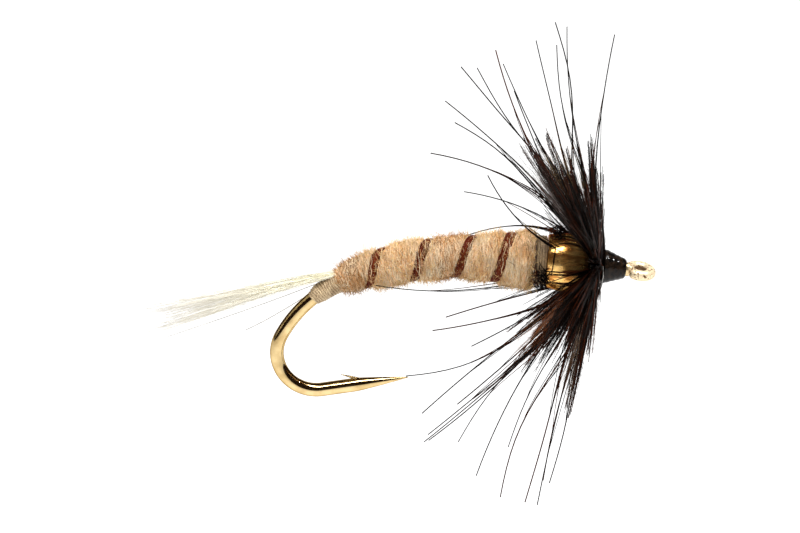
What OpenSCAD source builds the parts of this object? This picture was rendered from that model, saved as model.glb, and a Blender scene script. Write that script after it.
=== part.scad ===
// Soft-hackle fly with a gold cone thorax, tied on a curved-shank nymph hook.
// Millimetres. The origin is the centre of the hook eye's hole, +X runs forward past the eye,
// +Z is up and the hook's gape lies in the XZ plane. Lengths "along the shank" are measured
// from the origin, backwards over the shank and on round the bend.

/* [Hook] */
// Radius of the hook wire
wire_r = 0.325; // [0.3:0.005:0.33]
// Radius of the wire where it is drawn down for the eye
eye_wire_r = 0.25; // [0.235:0.005:0.26]
// Radius of the eye loop, to the middle of its wire
eye_loop_r = 0.505; // [0.5:0.005:0.54]
// Radius of the hole in the eye, where its inner wall is worn flat
eye_hole_r = 0.3; // [0.29:0.005:0.32]
// Rise of the shank behind the eye, in degrees, which is also the droop of the eye
eye_droop = 8.5; // [6:0.1:10]
// Twist of the eye loop about the shank, in degrees
eye_twist = 8; // [0:1:18]
// Angle of the long front arc of the shank
front_angle = 6.8; // [6:0.1:8]
// Radius of the long front arc of the shank
front_r = 65; // [60:1:70]
// Angle of the rear arc of the shank
rear_angle = 21.4; // [20:0.1:23]
// Radius of the rear arc of the shank
rear_r = 15.7; // [15:0.1:17]
// Angle of the shoulder that leads into the bend
shoulder_angle = 41.6; // [40:0.1:43]
// Radius of the shoulder
shoulder_r = 6.4; // [6:0.1:6.8]
// Angle of the tight bend
bend_angle = 127.2; // [125:0.1:129]
// Radius of the tight bend
bend_r = 1.86; // [1.8:0.01:1.95]
// Length of the straight spear, from the bend to the point
spear_l = 4.13; // [3.8:0.01:4.4]
// Length of the ground taper at the point
point_l = 2.5; // [2:0.1:2.8]
// Length of the barb
barb_l = 1.05; // [0.5:0.05:1.2]
// Angle at which the barb stands off the spear
barb_lift = 27; // [20:1:32]

/* [Thread and varnish] */
// Thickness of one layer of tying thread
thread_t = 0.05; // [0.03:0.005:0.06]
// Length of the thread wraps left bare behind the body
rear_wrap_l = 1.45; // [1:0.05:1.6]
// Thickness of the varnish on the head
varnish_t = 0.045; // [0.03:0.005:0.06]

/* [Body] */
// Place of the body's front end along the shank
body_front = 5.08; // [5.06:0.01:5.2]
// Place of the body's rear end along the shank
body_rear = 14.35; // [14:0.05:14.4]
// Body radius at its front end
body_front_r = 1.36; // [1.25:0.01:1.45]
// Body radius over its middle
body_mid_r = 0.91; // [0.85:0.01:1]
// Body radius at its rear end
body_rear_r = 0.7; // [0.66:0.01:0.8]
// Width of the flat rib strand
rib_w = 0.4; // [0.2:0.05:0.5]
// Thickness of the rib strand
rib_t = 0.06; // [0.04:0.01:0.1]
// Number of guard hairs that stand out of the dubbing
guard_hairs = 36; // [10:1:60]

/* [Gold cone] */
// Length of the cone
cone_l = 2.02; // [1.9:0.01:2.05]
// Largest radius of the cone
cone_r = 1.38; // [1.32:0.01:1.42]
// Radius of the cone at its base, which is turned in a little
cone_base_r = 1.24; // [1.2:0.01:1.3]
// Radius of the cone at its nose
cone_nose_r = 0.66; // [0.6:0.01:0.8]
// Radius of the bore through the cone
cone_bore_r = 0.44; // [0.42:0.01:0.48]

/* [Hackle] */
// Length of the longest barbs
barb_length = 11.6; // [9:0.1:12]
// Radius of a barb at its root
barb_root_r = 0.03; // [0.02:0.005:0.035]
// Barbs on each turn of the hackle
barbs_per_turn = 30; // [12:1:32]
// Radius of the hackle's quill
quill_r = 0.085; // [0.06:0.005:0.09]
// How far barbs crowd towards the top and bottom: 0 is an even ring
crowding = 0.19; // [0:0.01:0.25]

/* [Tail] */
// Number of tail fibres
tail_count = 16; // [6:1:24]
// Length of the tail, from the body's rear end
tail_l = 9.3; // [6:0.1:10]
// Droop of the tail below level, in degrees
tail_droop = 14; // [8:0.5:18]

/* [Hidden] */
$fn = 48;
fibre_sides = 3;
gap = 0.01;                     // clearance between pieces that touch
across = [0, 1, 0];
hook_arcs = [[front_angle, front_r], [rear_angle, rear_r],
             [shoulder_angle, shoulder_r], [bend_angle, bend_r]];
eye_heading = 180 - eye_droop;  // direction of travel along the shank as it leaves the eye
spear_heading = eye_heading + front_angle + rear_angle + shoulder_angle + bend_angle;

base_r = wire_r + thread_t;     // outside of the thread base
base_front = 0.76;              // where the thread base starts behind the eye
head_front = 0.9;               // head thread, from its front ...
head_rear = 1.72;               // ... to where the hackle starts
stem_front = 1.84;              // first turn of the quill
stem_pitch = 0.21;
stem_turns = 3;
stem_wind_r = base_r + gap + quill_r;
stem_butt = 1.42;               // front end of the trimmed quill, under the head thread
cone_front = 2.43;
cone_rear = cone_front + cone_l;
recess_r = 0.78;                // hollow in the back of the cone
recess_l = 0.5;
collar_rear = 4.96;
collar_r = 1.2;
tie_off_r = 0.055;              // radius of the dark thread that ties the rib off
tie_off_at = (collar_rear + body_front) / 2;
rib_start = 12.7;               // place of the rib where it first passes the near side
rib_step = 2.32;                // advance of the rib on that turn
rib_closing = 0.095;            // how much less it advances on each turn after
tail_root = body_rear - 1.1;    // front end of the tail butts, inside the body
tail_lie_r = base_r + 0.06;     // the butts lie on top of the thread base
tail_fibre_r = 0.03;
binding_rear = body_rear - 0.05;
binding_front = body_rear - 0.75;
binding_r = 0.5;
body_bore_r = base_r + gap;
body_bore_rear_r = binding_r + thread_t + gap;

// ---- places along the hook -------------------------------------------------------------------

function unit(v) = v / norm(v);
function mix(a, b, t) = a + (b - a) * t;
function arc_length(i) = hook_arcs[i][0] * PI / 180 * hook_arcs[i][1];

// [x, z, heading] after turning by a degrees on radius r
function turned(p, a, r) =
    [p[0] + r * (sin(p[2] + a) - sin(p[2])), p[1] - r * (cos(p[2] + a) - cos(p[2])), p[2] + a];

// [x, z, heading] where arc i starts
function arc_start(i) =
    i == 0 ? [0, 0, eye_heading] : turned(arc_start(i - 1), hook_arcs[i - 1][0], hook_arcs[i - 1][1]);

// [x, z, heading] at a length along the shank
function place(s, i = 0) =
    i == 3 || s <= arc_length(i)
        ? turned(arc_start(i), s / hook_arcs[i][1] * 180 / PI, hook_arcs[i][1])
        : place(s - arc_length(i), i + 1);

function shank_point(s) = let (p = place(s)) [p[0], 0, p[1]];
function backward(s) = let (h = place(s)[2]) [cos(h), 0, sin(h)];
function outward(s) = let (h = place(s)[2]) [sin(h), 0, -cos(h)];

// Direction at angle a about the shank: 0 is the top, 90 the far side, -90 the near side
function radial(s, a) = cos(a) * outward(s) + sin(a) * across;
function around(s, r, a) = shank_point(s) + r * radial(s, a);

// Children with +Z along the shank towards the bend and +X outward
module on_shank(s) translate(shank_point(s)) rotate([0, 90 - place(s)[2], 0]) children();

// ---- swept shapes ----------------------------------------------------------------------------

// Triangles between neighbouring rings of n points
function wall(rings, n, base = 0) = [
    for (i = [0 : rings - 2], k = [0 : n - 1])
        let (a = base + i * n + k, b = base + i * n + (k + 1) % n)
        each [[a, a + n, b + n], [a, b + n, b]]
];
function flipped(faces) = [for (f = faces) [f[0], f[2], f[1]]];
function first_cap(n, base = 0) = [for (k = [0 : n - 1]) base + k];
function last_cap(rings, n, base = 0) = [for (k = [0 : n - 1]) base + rings * n - 1 - k];

// A ring of n points about c, square to direction t
function ring(c, t, r, n, side = [1, 0, 0]) =
    let (u = unit(cross(t, side)), v = cross(t, u))
    [for (k = [0 : n - 1]) c + r * (cos(360 * k / n) * u + sin(360 * k / n) * v)];

function tangent(path, i) = unit(path[min(i + 1, len(path) - 1)] - path[max(i - 1, 0)]);

function strand_points(path, root_r, tip_r, n, side) = [
    for (i = [0 : len(path) - 1])
        each ring(path[i], tangent(path, i), mix(root_r, tip_r, i / (len(path) - 1)), n, side)
];

// Tapered strands as separate solids, all with the same number of points
module strands(paths, root_r, tip_r, n = fibre_sides, side = [1, 0, 0]) {
    m = len(paths[0]);
    polyhedron(
        points = [for (p = paths) each strand_points(p, root_r, tip_r, n, side)],
        faces = [for (j = [0 : len(paths) - 1])
            each concat([first_cap(n, j * m * n)], [last_cap(m, n, j * m * n)], wall(m, n, j * m * n))]);
}

// A tube around the curved shank: stations are [place, inner radius, outer radius]
module sleeve(stations, n) {
    m = len(stations);
    outer = [for (q = stations, k = [0 : n - 1]) around(q[0], q[2], 360 * k / n)];
    inner = [for (q = stations, k = [0 : n - 1]) around(q[0], q[1], 360 * k / n)];
    ends = [for (k = [0 : n - 1])
        let (o = k, p = (k + 1) % n, last = (m - 1) * n)
        each [[o, p, p + m * n], [o, p + m * n, o + m * n],
              [last + o, last + p + m * n, last + p], [last + o, last + o + m * n, last + p + m * n]]];
    polyhedron(points = concat(outer, inner),
        faces = concat(wall(m, n), flipped(wall(m, n, m * n)), ends));
}

// Part of arc i as a true torus: a profile swept from a0 to a1 degrees along the arc
module along_arc(i, a0, a1) {
    p = arc_start(i);
    r = hook_arcs[i][1];
    translate([p[0] - r * sin(p[2]), 0, p[1] + r * cos(p[2])])
        rotate([90, 0, 0])
            rotate([0, 0, p[2] - 90 + a0])
                rotate_extrude(angle = a1 - a0, $fn = 96)
                    translate([r, 0]) children();
}

// ---- hook ------------------------------------------------------------------------------------

module eye() {
    slit = 0.03;
    wire_end = 214;             // where round the loop the wire ends, just short of the shank
    rotate([0, eye_droop, 0]) rotate([eye_twist, 0, 0])
        difference() {
            rotate_extrude() translate([eye_loop_r, 0]) circle(eye_wire_r);
            cylinder(r = eye_hole_r, h = 2, center = true);
            rotate([0, 0, wire_end]) translate([0, -slit / 2, -1]) cube([2, slit, 2]);
        }
}

module hook() color("goldenrod") {
    tip = arc_start(4);
    straight_l = spear_l - point_l;
    neck = eye_loop_r / front_r * 180 / PI;
    seam = 0.008;               // the arcs stop this short of each joint, inside a ball that closes it
    ball_r = wire_r * 1.006;
    tip_r = 0.03;
    barb_root_r = wire_r * 0.3;
    barb_depth = wire_r * 0.55; // how far off the wire's middle the barb is rooted
    barb_ahead = 0.25;          // the barb is rooted this far ahead of where the taper starts
    eye();
    for (i = [0 : 3]) {
        trim = seam / hook_arcs[i][1] * 180 / PI;
        along_arc(i, i == 0 ? neck : trim, hook_arcs[i][0] - trim) circle(wire_r);
        joint = arc_start(i + 1);
        translate([joint[0], 0, joint[1]]) sphere(ball_r);
    }
    translate([tip[0], 0, tip[1]]) rotate([0, 90 - spear_heading, 0]) {
        translate([0, 0, seam]) cylinder(r = wire_r, h = straight_l - seam);
        translate([0, 0, straight_l]) cylinder(r1 = wire_r, r2 = tip_r, h = point_l);
        // the barb is a sliver cut up from the inside of the wire
        translate([-barb_depth, 0, straight_l + barb_ahead]) rotate([0, 180 + barb_lift, 0])
            cylinder(r1 = barb_root_r, r2 = tip_r, h = barb_l);
    }
}

// ---- thread under and behind the body --------------------------------------------------------

module thread_base() color("tan")
    sleeve([for (s = [base_front : 0.5 : body_rear]) [s, wire_r + 2 * gap, base_r]], 16);

module rear_thread_wraps() color("tan") {
    turns = 12;
    profile = [[0, 0.17], [0.75, 0.13], [1, 0.045]];
    ridge = 0.012;
    sleeve([for (i = [0 : 2 * turns])
        let (t = i / (2 * turns))
        [body_rear + gap + t * rear_wrap_l, wire_r + gap,
         wire_r + gap + lookup(t, profile) + (i % 2 == 0 ? -ridge : ridge)]], 16);
}

module tail_binding() color("tan")
    sleeve([for (s = [binding_front : 0.1 : binding_rear]) [s, binding_r, binding_r + thread_t]], 16);

// ---- tail ------------------------------------------------------------------------------------

module tail_fibres() {
    steps = 7;
    droop_dir = [-cos(tail_droop), 0, -sin(tail_droop)];
    spread = rands(-1, 1, 3 * tail_count, 41);
    exit_s = body_rear - 0.1;
    lie_angle = 34;             // the butts cover this much of the shank's top to each side
    yaw_angle = 6;
    lift_angle = 2.4;
    shortest = 0.72;
    sag = 0.25;
    function fibre(i) =
        let (lie = mix(-lie_angle, lie_angle, i / (tail_count - 1)),
             root = around(tail_root, tail_lie_r, lie),
             out = around(exit_s, tail_lie_r, lie),
             up = spread[3 * i] * lift_angle,
             yaw = mix(-yaw_angle, yaw_angle, i / (tail_count - 1)),
             length = tail_l * mix(1, shortest, abs(spread[3 * i + 1])),
             dir = unit(droop_dir + [0, sin(yaw), sin(up)]))
        [for (k = [0 : steps])
            k == 0 ? root : out + dir * length * (k - 1) / (steps - 1)
                - [0, 0, sag] * pow((k - 1) / (steps - 1), 2)];
    color("ivory") strands([for (i = [0 : tail_count - 1]) fibre(i)], tail_fibre_r, tail_fibre_r / 2);
}

// ---- body ------------------------------------------------------------------------------------

function body_r(s) = lookup(s, [[body_front, body_front_r], [6.6, mix(body_mid_r, body_front_r, 0.53)],
    [8.5, body_mid_r + 0.02], [11.6, body_mid_r], [13.2, mix(body_rear_r, body_mid_r, 0.35)],
    [body_rear, body_rear_r]]);

// Place of the rib after a number of turns: the turns close up towards the front
function rib_place(turn) = rib_start - rib_step * turn + rib_closing * turn * turn;

module dubbed_body() color("burlywood") {
    rings = 46;
    swell = rands(-0.012, 0.012, rings + 1, 7);
    sleeve([for (i = [0 : rings])
        let (s = mix(body_front, body_rear, i / rings))
        [s, s < binding_front - 0.5 ? body_bore_r : body_bore_rear_r, body_r(s) - 0.02 + swell[i]]], 20);
}

module guard_hairs() {
    around_at = rands(0, 360, guard_hairs, 11);
    lengths = rands(0.25, 0.6, guard_hairs, 12);
    margin = 0.2;               // bare ends of the body
    rooted = 0.04;              // depth of the roots in the fur
    sweep = 0.7;
    curl = 0.02;
    hair_r = 0.014;
    function hair(i) =
        let (s = mix(body_front + margin, body_rear - margin, (i + 0.5) / guard_hairs),
             root = around(s, body_r(s) - rooted, around_at[i]),
             dir = unit(radial(s, around_at[i]) + sweep * backward(s)))
        [for (k = [0 : 3]) root + dir * lengths[i] * k / 3 + backward(s) * curl * k * k];
    color("saddlebrown") strands([for (i = [0 : guard_hairs - 1]) hair(i)], hair_r, hair_r / 2);
}

module rib_strand() {
    first = -0.62;
    last = 3.9;
    steps = 100;
    function section(turn) =
        let (s = rib_place(turn), a = 360 * turn - 90, r = body_r(s) + 0.02, h = rib_w / 2)
        [around(s - h, r, a), around(s + h, r, a),
         around(s + h, r + rib_t, a), around(s - h, r + rib_t, a)];
    color("sienna") polyhedron(
        points = [for (i = [0 : steps]) each section(mix(first, last, i / steps))],
        faces = concat([first_cap(4)], [last_cap(steps + 1, 4)], wall(steps + 1, 4)));
}

module rib_tie_off() color("saddlebrown") on_shank(tie_off_at)
    rotate_extrude() translate([collar_r + 0.03, 0]) circle(tie_off_r);

// ---- collar and cone -------------------------------------------------------------------------

module thread_collar() color("tan") {
    turns = 4;
    length = collar_rear - cone_rear - 2 * gap;
    pitch = length / turns;
    on_shank(cone_rear + gap) rotate_extrude() {
        translate([base_r + gap, 0]) square([collar_r - base_r - 0.06, length]);
        for (i = [0 : turns - 1]) translate([collar_r - 0.1, (i + 0.5) * pitch]) circle(pitch / 2);
    }
}

module gold_cone() color("gold") {
    steps = 10;
    shoulder_l = cone_l * 0.6;
    rim = 0.05;
    on_shank(cone_front) rotate_extrude() polygon(concat(
        [[cone_bore_r, 0]],
        [for (i = [0 : steps])
            let (a = 90 * i / steps)
            [mix(cone_nose_r, cone_r, sin(a)), shoulder_l * (1 - cos(a))]],
        [[mix(cone_r, cone_base_r, 0.3), mix(shoulder_l, cone_l, 0.55)],
         [cone_base_r, cone_l - rim], [cone_base_r - rim, cone_l], [recess_r, cone_l],
         [recess_r, cone_l - recess_l], [cone_bore_r, cone_l - recess_l - 0.2]]));
}

module cone_packing() color("tan") on_shank(cone_rear - recess_l + 0.05)
    rotate_extrude() translate([base_r + gap, 0]) square([recess_r - base_r - 0.05, recess_l - 0.07]);

module caught_barbs() {
    count = 14;
    lean = rands(-1, 1, 2 * count, 23);
    function stub(i) =
        let (a = i < 4 ? mix(-14, 14, i / 3) : mix(-156, -116, (i - 4) / (count - 5)),
             root = around(cone_rear + 0.02, cone_base_r + 0.03, a),
             dir = unit(radial(cone_rear, a) * 0.5 + backward(cone_rear) * (0.7 + 0.3 * lean[i])))
        [for (k = [0 : 3]) root + dir * (0.5 + 0.2 * lean[count + i]) * k / 3];
    color("black") strands([for (i = [0 : count - 1]) stub(i)], 0.022, 0.01);
}

// ---- hackle ----------------------------------------------------------------------------------

// The quill: its trimmed butt lies forward along the shank, then it winds back over the thread base
module hackle_stem() color("black") {
    per_turn = 20;
    butt = [for (i = [0 : 3]) around(mix(stem_butt, stem_front - 0.08, i / 3), stem_wind_r, 0)];
    coil = [for (i = [1 : per_turn * stem_turns])
        around(stem_front + stem_pitch * i / per_turn * (stem_turns - 1) / stem_turns, stem_wind_r,
               360 * i / per_turn)];
    strands([concat(butt, coil)], quill_r, quill_r * 0.8, 8);
}

// One fan of barbs. Each barb keeps to its own half-plane through the shank, so none cross.
module barb_fan(turn, count, sweep, length, bend, root_r, seed, phase = 0, steps = 5) {
    chance = rands(0, 1, 2 * count, seed);
    function barb(i) =
        let (even = 360 * (i + phase) / count,
             a = even - crowding * 180 / PI * sin(2 * even),
             s = stem_front + stem_pitch * (turn + 0.3 * (i % 2)),
             lean = mix(sweep[0], sweep[1], chance[2 * i]),
             reach = mix(length[0], length[1], chance[2 * i + 1]),
             root = around(s, stem_wind_r + quill_r * 0.9, a),
             dir = cos(lean) * radial(s, a) + sin(lean) * backward(s))
        [for (k = [0 : steps])
            root + dir * reach * k / steps + backward(s) * bend * pow(k / steps, 2)];
    strands([for (i = [0 : count - 1]) barb(i)], root_r, 0.012);
}

module hackle_barbs_front() color("black")
    barb_fan(0, barbs_per_turn, [3, 14], [barb_length * 0.86, barb_length * 0.98], 0.5, barb_root_r, 31);

module hackle_barbs_middle() color([0.1, 0.05, 0.04])
    barb_fan(1, barbs_per_turn, [15, 30], [barb_length * 0.8, barb_length], 1, barb_root_r, 32, 1 / 3);

module hackle_barbs_rear() color([0.14, 0.06, 0.04])
    barb_fan(2, barbs_per_turn, [31, 50], [barb_length * 0.62, barb_length * 0.95], 0.4, barb_root_r, 33,
        2 / 3);

module hackle_swept_barbs() color("black")
    barb_fan(2.4, 9, [58, 70], [barb_length * 0.5, barb_length * 0.85], -0.6, barb_root_r, 34, 1 / 2);

module hackle_down() color("gray")
    barb_fan(1.5, 28, [10, 52], [3.5, 6.5], 0.8, 0.018, 35, 1 / 2, 4);

// ---- head ------------------------------------------------------------------------------------

// Outer radius of the thread head
function head_r(s) =
    lookup(s, [[head_front, 0.47], [1.18, 0.56], [1.41, 0.65], [1.6, 0.72], [head_rear, 0.75]]);

module head_thread() color("black") {
    turns = 7;
    length = head_rear - head_front;
    pitch = length / turns;
    clear_r = stem_wind_r + quill_r + gap;
    step_s = stem_butt - 0.06;
    on_shank(head_front) rotate_extrude() polygon(concat(
        [[clear_r, length], [clear_r, step_s - head_front],
         [base_r + gap, step_s - head_front], [base_r + gap, 0]],
        [for (i = [0 : 2 * turns])
            [head_r(head_front + i * pitch / 2) - (i % 2 == 0 ? 0.02 : 0), i * pitch / 2]]));
}

module whip_finish() color("black") {
    per_turn = 16;
    turns = 3;
    thread_r = 0.026;
    strands([[for (i = [0 : per_turn * turns])
        around(base_front + 0.03 + 0.058 * i / per_turn, base_r + gap + thread_r, 360 * i / per_turn)]],
        thread_r, thread_r, 6);
}

module head_varnish() color([0.02, 0.02, 0.02]) {
    steps = 6;
    under = 0.025;
    front_r = base_r + 0.1;
    outline = [for (i = [0 : steps]) mix(head_front, head_rear + 0.02, i / steps)];
    on_shank(base_front - 0.01) rotate_extrude() polygon(concat(
        [[front_r, 0], [front_r, head_front - base_front - 0.01]],
        [for (s = outline) [head_r(s) + under, s - base_front + 0.01]],
        [for (i = [steps : -1 : 0])
            [head_r(outline[i]) + under + varnish_t, outline[i] - base_front + 0.01]],
        [[front_r + varnish_t, 0]]));
}

hook();
thread_base();
rear_thread_wraps();
tail_fibres();
tail_binding();
dubbed_body();
guard_hairs();
rib_strand();
rib_tie_off();
thread_collar();
gold_cone();
cone_packing();
caught_barbs();
hackle_stem();
hackle_barbs_rear();
hackle_barbs_middle();
hackle_barbs_front();
hackle_swept_barbs();
hackle_down();
head_thread();
whip_finish();
head_varnish();
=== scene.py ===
"""Looks of a soft-hackle fishing fly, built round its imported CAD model.

Shapes are designed in millimetres in the CAD model's frame: the origin is the centre of the hook
eye's hole, +X runs forward past the eye and +Z is up. They become metres as each mesh is made.
Places along the shank are lengths from the origin, backwards over the shank and round the bend.
Angles about the shank are in degrees: 0 is the top, 90 the far side and -90 the near side.
"""

import math

import bpy
import numpy as np
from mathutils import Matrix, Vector

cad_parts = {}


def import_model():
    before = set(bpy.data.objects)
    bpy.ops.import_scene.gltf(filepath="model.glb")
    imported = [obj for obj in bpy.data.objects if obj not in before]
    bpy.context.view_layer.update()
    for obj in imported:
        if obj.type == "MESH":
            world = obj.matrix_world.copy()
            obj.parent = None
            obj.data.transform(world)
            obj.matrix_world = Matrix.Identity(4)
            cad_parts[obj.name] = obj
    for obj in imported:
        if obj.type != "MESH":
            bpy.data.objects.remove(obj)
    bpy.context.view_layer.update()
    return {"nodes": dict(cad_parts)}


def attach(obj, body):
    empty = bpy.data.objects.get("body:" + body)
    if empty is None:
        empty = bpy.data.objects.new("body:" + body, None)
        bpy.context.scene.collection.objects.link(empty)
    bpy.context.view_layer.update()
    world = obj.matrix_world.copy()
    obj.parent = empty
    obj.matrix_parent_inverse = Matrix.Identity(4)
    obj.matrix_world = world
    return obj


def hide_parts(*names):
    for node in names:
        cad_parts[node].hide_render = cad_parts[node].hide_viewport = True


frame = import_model()

MM = 0.001
ACROSS = np.array([0.0, 1.0, 0.0])

# ---- dimensions shared with the CAD model, in millimetres and degrees ----

WIRE_R = 0.325
EYE_WIRE_R = 0.25
EYE_LOOP_R = 0.505
EYE_DROOP = 8.5
EYE_TWIST = 8.0
EYE_WIRE_END = 214.0        # where round the loop the wire ends
HOOK_ARCS = ((6.8, 65.0), (21.4, 15.7), (41.6, 6.4), (127.2, 1.86))     # (angle, radius)
SPEAR_L = 4.13
POINT_L = 2.5
BARB_L = 1.05
BARB_LIFT = 27.0
BODY_FRONT = 5.08
BODY_REAR = 14.35
RIB_FIRST = -0.62           # turns of the rib, from its first showing to the tie-off
RIB_LAST = 3.66
RIB_W = 0.4
RIB_START = 12.7            # place of the rib at turn 0
RIB_STEP = 2.32
RIB_CLOSING = 0.095
CONE_FRONT = 2.43
CONE_L = 2.02
CONE_R = 1.38
CONE_BASE_R = 1.24
CONE_NOSE_R = 0.66
CONE_BORE_R = 0.44
COLLAR_REAR = 4.96
COLLAR_R = 1.2
REAR_WRAP_L = 1.45

# ---- dimensions of the visual model alone ----

HEAD_FRONT = 0.66           # ends of the varnish, which runs onto the bare wire
HEAD_REAR = 1.80
BODY_MIDDLE = 9.6
THREAD_R = 0.062
THREAD_PITCH = 0.118
TAIL_L = 9.8
TAIL_DROOP = 13.6
VIEW_UP = 18.0              # elevation of the camera


# ---- places along the hook ----

def shank(s):
    """Point, backward and outward direction on the shank at places s."""
    s = np.asarray(s, float)
    x, z, heading = 0.0, 0.0, math.radians(180 - EYE_DROOP)
    left = s
    here_x, here_z, here_h = np.zeros_like(s), np.zeros_like(s), np.zeros_like(s)
    todo = np.ones(s.shape, bool)
    for i, (turn, radius) in enumerate(HOOK_ARCS):
        length = math.radians(turn) * radius
        on_arc = todo & ((left <= length) | (i == len(HOOK_ARCS) - 1))
        h = heading + left / radius
        here_x = np.where(on_arc, x + radius * (np.sin(h) - math.sin(heading)), here_x)
        here_z = np.where(on_arc, z - radius * (np.cos(h) - math.cos(heading)), here_z)
        here_h = np.where(on_arc, h, here_h)
        todo = todo & ~on_arc
        end = heading + math.radians(turn)
        x += radius * (math.sin(end) - math.sin(heading))
        z -= radius * (math.cos(end) - math.cos(heading))
        heading = end
        left = left - length
    flat = np.zeros_like(here_h)
    point = np.stack([here_x, flat, here_z], -1)
    backward = np.stack([np.cos(here_h), flat, np.sin(here_h)], -1)
    outward = np.stack([np.sin(here_h), flat, -np.cos(here_h)], -1)
    return point, backward, outward


def radial(s, a):
    """Direction at angle a about the shank."""
    a = np.radians(np.asarray(a, float))[..., None]
    return np.cos(a) * shank(s)[2] + np.sin(a) * ACROSS


def around(s, r, a):
    """Point at place s, distance r and angle a about the shank."""
    s, r, a = np.broadcast_arrays(np.asarray(s, float), np.asarray(r, float), np.asarray(a, float))
    return shank(s)[0] + r[..., None] * radial(s, a)


def unit(v):
    return v / np.linalg.norm(v, axis=-1, keepdims=True)


def bezier(start, knee, end, t):
    """Points at t on the curve from start to end that knee pulls towards itself."""
    return (1 - t) ** 2 * start + 2 * t * (1 - t) * knee + t ** 2 * end


def curling(root, way, curl, length, t):
    """Hairs that leave root along way and curl further towards curl as they go."""
    reach = length[:, None] * t
    return root[:, None] + way[:, None] * reach[..., None] + curl[:, None] * (reach * t)[..., None]


def thinning(rng, thin, thick, count, t):
    """Radii of hairs that start between thin and thick and end at two fifths of that."""
    return rng.uniform(thin, thick, count)[:, None] * np.interp(t, [0, 1], [1, 0.4])


def lumps(points, size, seed, waves=10):
    """Smooth seeded noise from about -1 to 1 at points, with lumps of about that size."""
    rng = np.random.default_rng(seed)
    directions = unit(rng.normal(size=(waves, 3)))
    steps = 2 * np.pi / (size * rng.uniform(0.7, 1.6, waves))
    phases = rng.uniform(0, 2 * np.pi, waves)
    return np.sin(points @ (directions * steps[:, None]).T + phases).sum(-1) / math.sqrt(waves)


# ---- meshes ----

def add_object(name, data):
    piece = bpy.data.objects.new(name, data)
    bpy.context.scene.collection.objects.link(piece)
    return piece


def new_piece(name, verts, faces, material, replaced=(), values=None):
    """A mesh piece from points in millimetres, which rides on the fly's one body."""
    mesh = bpy.data.meshes.new(name)
    mesh.from_pydata((verts * MM).tolist(), [], faces)
    for key, data in (values or {}).items():
        attribute = mesh.attributes.new(key, "FLOAT", "POINT")
        attribute.data.foreach_set("value", np.asarray(data, np.float32).ravel())
    mesh.polygons.foreach_set("use_smooth", [True] * len(mesh.polygons))
    mesh.materials.append(material)
    piece = add_object(name, mesh)
    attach(piece, "root")
    if replaced:
        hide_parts(*replaced)


def tube_mesh(paths, radii, sides, ref=None, flat=1.0):
    """Closed tapered tubes along paths (strands, points, 3): vertices, faces, share of length."""
    n, m, _ = paths.shape
    tangent = unit(np.gradient(paths, axis=1))
    if ref is None:
        run = np.abs(paths[:, -1] - paths[:, 0])
        ref = np.eye(3)[run.argmin(axis=1)][:, None, :]
    u = unit(np.cross(tangent, ref))
    v = np.cross(tangent, u)
    turn = 2 * np.pi * np.arange(sides) / sides
    ring = (np.cos(turn)[:, None] * u[:, :, None, :] * flat
            + np.sin(turn)[:, None] * v[:, :, None, :])
    verts = paths[:, :, None, :] + radii[:, :, None, None] * ring
    index = np.arange(n * m * sides).reshape(n, m, sides)
    a, b = index[:, :-1], index[:, 1:]
    walls = np.stack([a, np.roll(a, -1, 2), np.roll(b, -1, 2), b], -1).reshape(-1, 4)
    caps = np.concatenate([index[:, 0, ::-1], index[:, -1]])
    along = np.broadcast_to(np.linspace(0, 1, m)[None, :, None], (n, m, sides))
    return verts.reshape(-1, 3), walls.tolist() + caps.tolist(), along.ravel()


def strands(name, paths, radii, material, replaced=(), sides=3, seed=0, ref=None, flat=1.0):
    """A piece of many separate strands. Each has its own tint, and knows how far along it is."""
    paths = np.asarray(paths, float)
    radii = np.broadcast_to(radii, paths.shape[:2])
    verts, faces, along = tube_mesh(paths, radii, sides, ref, flat)
    tint = np.random.default_rng(seed).uniform(0, 1, len(paths))
    tint = np.repeat(tint, paths.shape[1] * sides)
    new_piece(name, verts, faces, material, replaced, {"along": along, "tint": tint})


def surface(name, grid, material, replaced=(), capped=True):
    """A skin over rings of points (rings, sides, 3), capped at both ends or open."""
    m, n, _ = grid.shape
    index = np.arange(m * n).reshape(m, n)
    a, b = index[:-1], index[1:]
    faces = np.stack([a, b, np.roll(b, -1, 1), np.roll(a, -1, 1)], -1).reshape(-1, 4).tolist()
    if capped:
        faces += [index[0].tolist(), index[-1, ::-1].tolist()]
    along = np.repeat(np.linspace(0, 1, m), n)
    new_piece(name, grid.reshape(-1, 3), faces, material, replaced, {"along": along})


def skin_grid(places, sides):
    """Places and angles of a skin round the shank."""
    return np.meshgrid(places, np.linspace(0, 360, sides, endpoint=False), indexing="ij")


def lathe_points(place, profile, sides):
    """Rings (points, sides, 3) of a profile of (radius, distance behind place) pairs."""
    point, backward, _ = shank(place)
    angles = np.linspace(0, 360, sides, endpoint=False)
    ring = radial(np.full(sides, place), angles)
    radius, behind = np.asarray(profile, float).T
    return point + behind[:, None, None] * backward + radius[:, None, None] * ring


# ---- materials ----

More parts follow.
